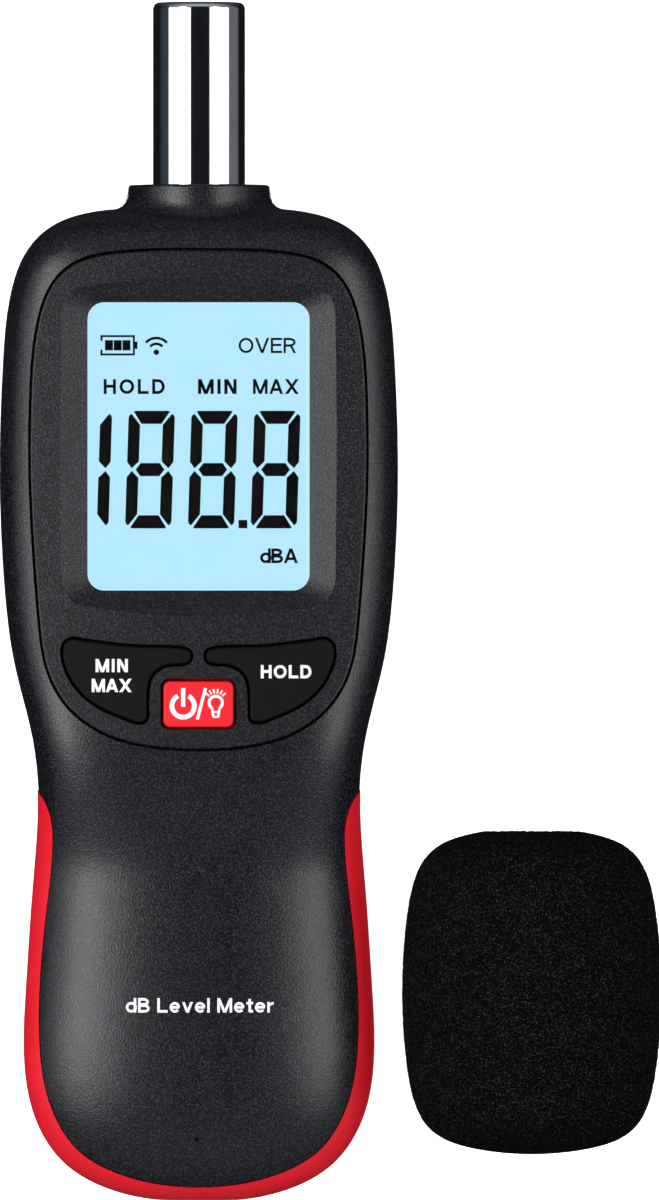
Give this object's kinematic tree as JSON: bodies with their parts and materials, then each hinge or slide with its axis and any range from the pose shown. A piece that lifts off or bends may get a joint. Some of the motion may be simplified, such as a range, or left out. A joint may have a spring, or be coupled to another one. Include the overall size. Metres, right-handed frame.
{
  "type": "handheld sound level meter",
  "caption": "Handheld sound level meter: waisted case with red grip band, segment display, rubber keys, chromed microphone barrel, sliding battery cover and a loose foam windscreen.",
  "frame": {"origin": "centre of the case's flat back, on the plane that the meter lies on", "axes": "+Z out of the display, +Y from the handle to the microphone, +X to the right of the display"},
  "size_m": [0.0912, 0.1651, 0.0358],
  "materials": {
    "case_black": "satin",
    "grip_red": "satin",
    "panel_grey": "matte",
    "window_clear": "gloss",
    "lcd_glass": "gloss",
    "white_plastic": "satin",
    "guide_acrylic": "gloss",
    "led_white": "gloss",
    "key_black": "matte",
    "key_red": "satin",
    "silicone": "matte",
    "carbon_pill": "matte",
    "tape_black": "matte",
    "circuit_board": "satin",
    "chip_epoxy": "matte",
    "shield_steel": "satin",
    "chip_ceramic": "satin",
    "screw_steel": "satin",
    "contact_steel": "satin",
    "insert_brass": "satin",
    "barrel_chrome": "polished",
    "capsule_metal": "satin",
    "felt_black": "matte",
    "foam_black": "matte",
    "cell_wrap": "gloss",
    "lead_red": "satin",
    "lead_black": "satin"
  },
  "bodies": {
    "case": {"front_shell": "case_black", "rear_shell": "case_black", "front_grip_band": "grip_red", "rear_grip_band": "grip_red", "front_panel": "panel_grey", "display_window": "window_clear", "window_tape": "tape_black", "lcd_front_glass": "lcd_glass", "lcd_rear_glass": "lcd_glass", "lcd_holder": "white_plastic", "backlight_guide": "guide_acrylic", "backlight_leds": "led_white", "rubber_connector": "silicone", "keypad_mat": "silicone", "main_board": "circuit_board", "processor_chip": "chip_epoxy", "amplifier_chip": "chip_epoxy", "radio_module": "shield_steel", "small_board_parts": "chip_ceramic", "calibration_trimmer": "chip_epoxy", "board_screws": "screw_steel", "case_screws": "screw_steel", "tripod_insert": "insert_brass", "microphone_barrel": "barrel_chrome", "microphone_bush": "silicone", "microphone_capsule": "capsule_metal", "capsule_holder": "tape_black", "microphone_grille": "capsule_metal", "dust_felt": "felt_black", "microphone_leads": "lead_black", "battery_cells": "cell_wrap", "battery_contacts": "contact_steel", "battery_springs": "contact_steel", "battery_lead_red": "lead_red", "battery_lead_black": "lead_black", "dome_min_max": "silicone", "dome_hold": "silicone", "dome_power": "silicone"},
    "min_max_key": {"button_min_max": "key_black", "pill_min_max": "carbon_pill"},
    "hold_key": {"button_hold": "key_black", "pill_hold": "carbon_pill"},
    "power_key": {"button_power": "key_red", "pill_power": "carbon_pill"},
    "battery_door": {"battery_cover": "case_black"},
    "foam_windscreen": {"windscreen": "foam_black"}
  },
  "joints": [
    {"name": "min_max_press", "type": "slide", "parent": "case", "child": "min_max_key", "axis": [0, 0, -1], "range_m": [0, 0.001], "stiffness_N_per_m": 300, "springref_m": -0.0005, "deforming": ["dome_min_max"]},
    {"name": "hold_press", "type": "slide", "parent": "case", "child": "hold_key", "axis": [0, 0, -1], "range_m": [0, 0.001], "stiffness_N_per_m": 300, "springref_m": -0.0005, "deforming": ["dome_hold"]},
    {"name": "power_press", "type": "slide", "parent": "case", "child": "power_key", "axis": [0, 0, -1], "range_m": [0, 0.001], "stiffness_N_per_m": 300, "springref_m": -0.0005, "deforming": ["dome_power"]},
    {"name": "battery_cover_slide", "type": "slide", "parent": "case", "child": "battery_door", "axis": [0, -1, 0], "range_m": [0, 0.058]},
    {"name": "windscreen_slide", "type": "slide", "parent": "case", "child": "foam_windscreen", "axis": [0, 1, 0], "range_m": [0, 0.125]}
  ]
}
